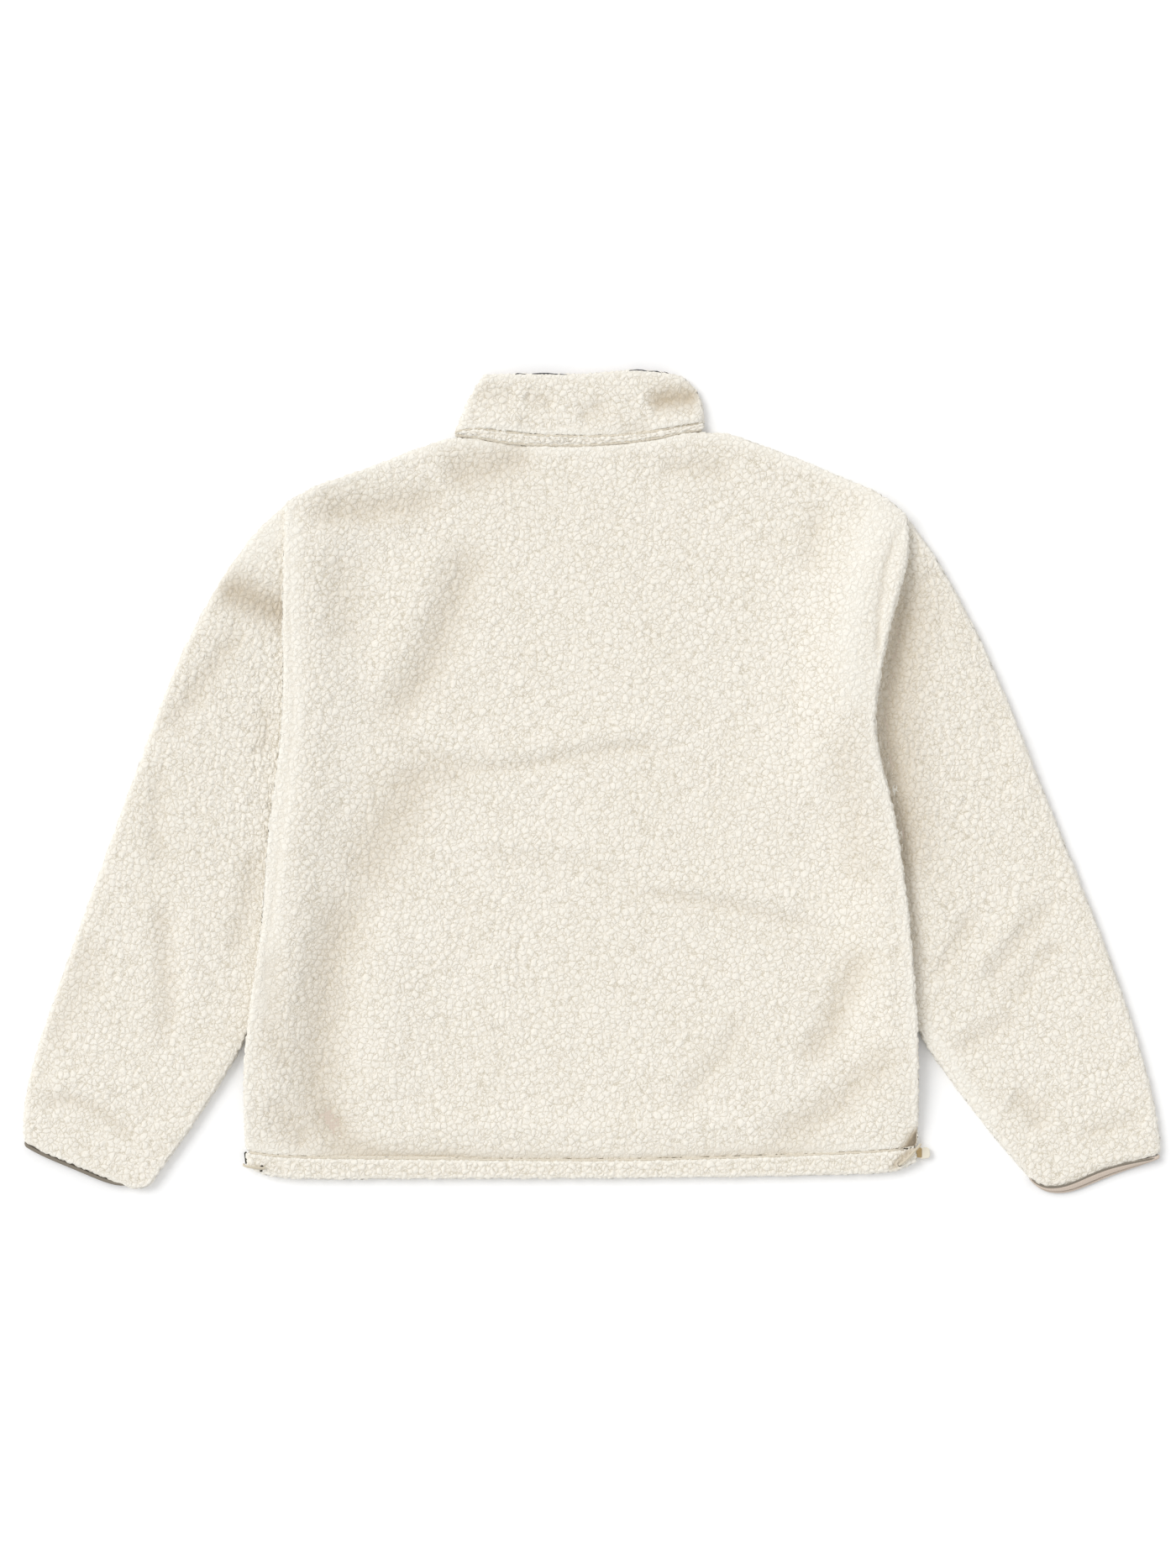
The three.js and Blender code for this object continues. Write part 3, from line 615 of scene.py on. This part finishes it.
# The hidden side gets softer folds of the same kind, pressed in by the surface that it lies on
FRONT_FOLDS = [
    ([(-210, 120), (-180, 40), (-195, -60), (-205, -180)], 18, 1.6, 0.12),
    ([(200, 150), (185, 60), (205, -40), (190, -170)], 18, 1.6, 0.12),
    ([(-120, -40), (0, -58), (130, -45)], 10, 1.2, 0.10),
    ([(-160, -240), (-40, -262), (90, -250), (190, -262)], 11, 1.2, 0.10),
]
UNDER_SLEEVE_LEFT = [
    ([(-330, 60), (-390, -40), (-420, -150)], 12, 1.4, 0.12),
    ([(-350, -180), (-400, -220), (-450, -235)], 10, 1.2, 0.10),
]
UNDER_SLEEVE_RIGHT = [
    ([(330, 60), (385, -40), (420, -150)], 12, 1.4, 0.12),
    ([(350, -180), (400, -220), (450, -235)], 10, 1.2, 0.10),
]

# The dimple beside the cord at the right end of the hem
HEM_FOLDS = [
    ([(264, -350), (271, -343), (281, -333), (292, -322), (298, -316)], 3.5, 1.2, 0.42),
]

# The left cuff's lower corner, where the pile covers the binding: how far it reaches, and which way
CUFF_CORNER = ((-404, -358), 15, (1.0, -3.4))

back = cloth("back", ABOVE, 2.2, BACK_FOLDS, pressed=[(LEFT_ARMHOLE_SEAM, 11), (RIGHT_EDGE_SEAM, 7),
                                                       (RIGHT_FRONT_PRESSED, 17)], seam=12)
front = cloth("front", BELOW, 3.2, under=FRONT_FOLDS)
sleeve_left = cloth("sleeve_left", MIDDLE, 2.3, SLEEVE_LEFT_FOLDS, UNDER_SLEEVE_LEFT,
                    pressed=[(LEFT_SLEEVE_HEAD, 20)], pulls=[CUFF_CORNER], seam=6)
sleeve_right = cloth("sleeve_right", MIDDLE, 2.3, SLEEVE_RIGHT_FOLDS, UNDER_SLEEVE_RIGHT,
                     pressed=[(RIGHT_SLEEVE_SEAM, 5)], seam=6)
collar = cloth("collar", MIDDLE, 2.0, COLLAR_FOLDS, turned=0)
neck_band = cloth("neck_band", ABOVE, 1.6, seam=3)
hem_back = cloth("hem_casing_back", ABOVE, 1.8, HEM_FOLDS, seam=5)
hem_front = cloth("hem_casing_front", BELOW, 2.4, seam=5)

# ---------------------------------------------------------------- trims


def finished(piece, finish, slot_name=None):
    """Gives a piece its material and its body. Its slot name is not used."""
    for face in piece.data.polygons:
        face.use_smooth = True
    piece.data.materials.clear()
    piece.data.materials.append(finish)
    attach(piece, "root")
    return piece


WORN_EDGE = 0.7 * MM


def trim(name, finish, slot_name, levels=2):
    """A trim on its solid's form: subdivided where it is soft, and only bevelled where levels is 0."""
    piece = smooth_copy(name + "_trim", name, levels)
    if levels == 0:
        bevel = piece.modifiers.new("worn_edges", "BEVEL")
        bevel.width = WORN_EDGE
        bevel.segments = 3
        settle(piece)
    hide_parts(name)
    return finished(piece, finish, slot_name)


def shift(piece, ways=None, lift=0.0):
    """Moves a piece's points sideways, each by its own way, and up."""
    places, _ = points_of(piece)
    if ways:
        places[:, :2] += ways(places)
    places[:, 2] += lift
    piece.data.vertices.foreach_set("co", places.ravel())
    piece.data.update()


# The left cuff's binding is drawn up under the pile at the lower corner
BINDING_REACH, BINDING_WAY = 17, (-1.4, 4.6)
binding_left = trim("cuff_binding_left", BINDING, "binding")
shift(binding_left, lambda places: pulled(places, CUFF_CORNER[0], BINDING_REACH, BINDING_WAY))

# The right cuff gapes, so its inside shows on the slope below the bound edge of its upper layer
BOUND_EDGE = 9.15 * MM
binding_right = trim("cuff_binding_right", BINDING, "binding", 3)
binding_right.data.materials.append(KNIT)
for face in binding_right.data.polygons:
    face.material_index = 1 if face.normal.z > 0.1 and face.center.z < BOUND_EDGE else 0

# The collar's binding shows in two stretches, and elsewhere the pile lies over it, all in millimetres
BINDING_SHOWS = ((-68, -15), (32, 69))
ENDS_FADE = 4        # how long the ends of each stretch are
BURIED = 2.0         # how far the rest is drawn under the pile
SUNK = 0.45          # how far all of it is
RAGGED = 1.7         # and how much further where tufts of pile cross it


def under_pile(places):
    across = places[:, 0] / MM
    bare = sum(step(across, start - ENDS_FADE, start + ENDS_FADE)
               * step(-across, -end - ENDS_FADE, -end + ENDS_FADE) for start, end in BINDING_SHOWS)
    tufts = np.abs(np.sin(across / 2.1) * np.sin(across / 1.3 + 1))
    return np.column_stack([np.zeros(len(places)), -(BURIED * (1 - bare) + RAGGED * tufts + SUNK) * MM])


# The left tab is drawn in, narrowed and slanted, so that only a sliver of it shows beside the casing, painted
# dark:
# a painted shadow under the casing's edge
TAB_PEEPS, TAB_LOWERED = 4.2 * MM, 3.5 * MM
TAB_NARROWED, TAB_SLANT = 0.5, 0.06


def drawn_in(places):
    beyond = places[:, 0] - places[:, 0].mean()
    lower = places[:, 1].mean() - places[:, 1]
    return np.column_stack([TAB_PEEPS - TAB_NARROWED * beyond + TAB_SLANT * lower,
                            np.full(len(places), -TAB_LOWERED)])


CORD_LIFT = 0.9 * MM   # the right cord lies on the pile

shift(trim("collar_binding", COLLAR_TRIM, "collar_trim"), under_pile)
trim("front_placket", PLACKET, "placket")
trim("drawcord_left", CORD, "drawcord")
shift(trim("drawcord_right", CORD, "drawcord"), lift=CORD_LIFT)
shift(trim("keeper_tab_left", SHADOW_TAB_WEBBING, "dark_tab", 0), drawn_in)
trim("keeper_tab_right", PALE_WEBBING, "tab", 0)
for number in range(1, 5):
    trim(f"press_stud_{number}", STUD, "stud", 1)


def made(name, form, finish, slot_name=None):
    """A new piece from a bmesh."""
    bmesh.ops.recalc_face_normals(form, faces=form.faces)
    return finished(as_object(name, form), finish, slot_name)


def top_of(pieces):
    """A function that gives the height of the highest of some pieces at a place, in metres."""
    trees = []
    for piece in pieces:
        form = bmesh.new()
        form.from_mesh(piece.data)
        trees.append(BVHTree.FromBMesh(form))
        form.free()

    def height(x, y):
        hits = [tree.ray_cast(Vector((x, y, 0.2)), Vector((0, 0, -1)))[0] for tree in trees]
        return max([hit.z for hit in hits if hit], default=TOP)
    return height


def along_line(line, pitch):
    """Places at even steps along a line of millimetres, each with the line's direction there."""
    points = [Vector(point) for point in line]
    left = pitch / 2
    for start, end in zip(points[:-1], points[1:]):
        way = (end - start).normalized()
        length = (end - start).length
        while left < length:
            yield start + way * left, way
            left += pitch
        left -= length


# One stitch in millimetres: a straight rod, and a tapered tip at each end that dives into the pile
STITCH_LENGTH, STITCH_GAP, THREAD_RADIUS = 3.0, 1.1, 0.25
ROD, TIP = 0.6, 0.2          # shares of a stitch's length
TIP_WIDTH, TIP_DIVES = 0.4, 0.3 * MM
SEAM_SUNK, PILE_SUNK = 0.75, 0.25   # how far a row lies below the top of its seam, or of its pile


def stitches(name, lines, height, sunk, finish):
    """Rows of machine stitches, sunk a little in the pile."""
    form = bmesh.new()
    for line in lines:
        for middle, way in along_line(line, STITCH_LENGTH + STITCH_GAP):
            x, y = middle.x * MM, middle.y * MM
            turn = Vector((way.x, way.y, 0)).to_track_quat("Z", "Y").to_matrix().to_4x4()
            place = Matrix.Translation((x, y, height(x, y) - sunk * MM)) @ turn
            rod = bmesh.ops.create_cone(form, cap_ends=True, segments=6, radius1=THREAD_RADIUS * MM,
                                        radius2=THREAD_RADIUS * MM, depth=STITCH_LENGTH * ROD * MM,
                                        matrix=place)
            faces = dict.fromkeys(face for vert in rod["verts"] for face in vert.link_faces)
            for face in [face for face in faces if len(face.verts) == 6]:
                centre = face.calc_center_median()
                out = (centre - place.translation).normalized() * STITCH_LENGTH * TIP * MM
                drawn = bmesh.ops.extrude_face_region(form, geom=[face])
                for tip in [item for item in drawn["geom"] if isinstance(item, bmesh.types.BMVert)]:
                    tip.co = centre + (tip.co - centre) * TIP_WIDTH + out - Vector((0, 0, TIP_DIVES))
                bmesh.ops.delete(form, geom=[face], context="FACES_ONLY")
    return made(name, form, finish)


def edge_line(name, start, end, count, toward):
    """The line of a CAD piece's edge seen along y, in millimetres, from one x to another."""
    form = bmesh.new()
    form.from_mesh(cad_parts[name].data)
    tree = BVHTree.FromBMesh(form)
    form.free()
    line = []
    for k in range(count + 1):
        x = (start + (end - start) * k / count) * MM
        hit = tree.ray_cast(Vector((x, -toward * 0.5, TOP * 0.8)), Vector((0, toward, 0)))[0]
        if hit:
            line.append((hit.x / MM, hit.y / MM))
    return line


upper = top_of([back, hem_back, neck_band, collar])
HEM_SEAM = edge_line("hem_casing_back", -306, 292, 44, -1)
NECK_SEAM = edge_line("neck_band", -122, 102, 60, 1)
COLLAR_SEAM = edge_line("neck_band", -122, 102, 60, -1)

SEAM_DEPTH, SEAM_WIDTH, SEAM_THICKNESS = 1.1 * MM, 2.4 * MM, 2 * MM


def seam_fill(name, line):
    """The pile of both pieces where it meets in the bottom of a seam's groove: a strip along the seam, in
    painted shade.
    """
    form = bmesh.new()
    points = [Vector((x * MM, y * MM - SEAM_WIDTH / 2, TOP - SEAM_DEPTH)) for x, y in line]
    tip = form.verts.new(points[0])
    for point in points[1:]:
        tip = bmesh.ops.extrude_vert_indiv(form, verts=[tip])["verts"][0]
        tip.co = point
    drawn = bmesh.ops.extrude_edge_only(form, edges=list(form.edges))
    bmesh.ops.translate(form, vec=(0, SEAM_WIDTH, 0),
                        verts=[item for item in drawn["geom"] if isinstance(item, bmesh.types.BMVert)])
    drawn = bmesh.ops.extrude_face_region(form, geom=list(form.faces))
    bmesh.ops.translate(form, vec=(0, 0, -SEAM_THICKNESS),
                        verts=[item for item in drawn["geom"] if isinstance(item, bmesh.types.BMVert)])
    return made(name, form, SHADED_SEAM_PILE)


def seam_top(x, y):
    return TOP


seam_fill("hem_seam", HEM_SEAM)
seam_fill("neck_seam", NECK_SEAM)
seam_fill("collar_seam", COLLAR_SEAM)
stitches("hem_stitches", [HEM_SEAM], seam_top, SEAM_SUNK, THREAD)
stitches("neck_stitches", [NECK_SEAM, COLLAR_SEAM], seam_top, SEAM_SUNK, THREAD)
stitches("armhole_stitches", [LEFT_ARMHOLE_SEAM, RIGHT_EDGE_SEAM], upper, PILE_SUNK, THREAD)
stitches("underarm_stitches", [RIGHT_SLEEVE_SEAM], top_of([sleeve_right]), PILE_SUNK, THREAD)

# A round buttonhole in millimetres, before it is stretched: the radius of its rim, and of the thread in it
RIM_MIDDLE, RIM_THREAD = 1.3, 0.45
SLIT, SLIT_FLATNESS = 1.2, 0.25
PROUD = 0.3 * MM     # how far it stands above the pile


def buttonhole(name, x, y, length, width, turn):
    """A worked buttonhole for the drawcord: a slit with a rim of close stitches, painted dark: the painted
    shadow in the hole.
    """
    place = Matrix.Translation((x * MM, y * MM, upper(x * MM, y * MM) + PROUD))
    place = place @ Matrix.Rotation(math.radians(turn), 4, "Z")
    form = bmesh.new()
    upright = Matrix.Translation((RIM_MIDDLE * MM, 0, 0)) @ Matrix.Rotation(math.pi / 2, 4, "X")
    circle = bmesh.ops.create_circle(form, segments=8, radius=RIM_THREAD * MM, matrix=upright)
    bmesh.ops.spin(form, geom=circle["verts"] + list(form.edges), cent=(0, 0, 0), axis=(0, 0, 1),
                   angle=2 * math.pi, steps=20, use_merge=True)
    bmesh.ops.remove_doubles(form, verts=form.verts, dist=0.01 * MM)
    bmesh.ops.create_uvsphere(form, u_segments=16, v_segments=8, radius=SLIT * MM,
                              matrix=Matrix.Diagonal((1, 1, SLIT_FLATNESS, 1)))
    across = 2 * (RIM_MIDDLE + RIM_THREAD)
    stretch = Matrix.Diagonal((length / across, width / across, 1, 1))
    bmesh.ops.transform(form, matrix=place @ stretch, verts=form.verts)
    return made(name, form, HOLE_SHADOW)


buttonhole("buttonhole_left_upper", -294.5, -343.6, 2.6, 1.8, 10)
buttonhole("buttonhole_left_lower", -295.2, -347.8, 2.6, 1.8, 10)
buttonhole("buttonhole_right", 275.2, -342.6, 3.6, 2.6, 40)

STRAP_EDGE = 0.9 * MM


def loop(name, centre, size, finish, slot_name):
    """A short strap of webbing with rounded edges."""
    form = bmesh.new()
    bmesh.ops.create_cube(form, size=1.0, matrix=Matrix.Translation([c * MM for c in centre])
                          @ Matrix.Diagonal([d * MM for d in size] + [1]))
    bmesh.ops.bevel(form, geom=list(form.edges), offset=STRAP_EDGE, offset_type="OFFSET", segments=3,
                    affect="EDGES", profile=0.5, material=-1)
    return made(name, form, finish, slot_name)


# The right tab's loop, painted tan: painted shade in the fold of the cream webbing
loop("keeper_loop_right", (291.5, -332.0, 5.0), (7.0, 8.6, 5.0), SHADED_LOOP_WEBBING, "tab")
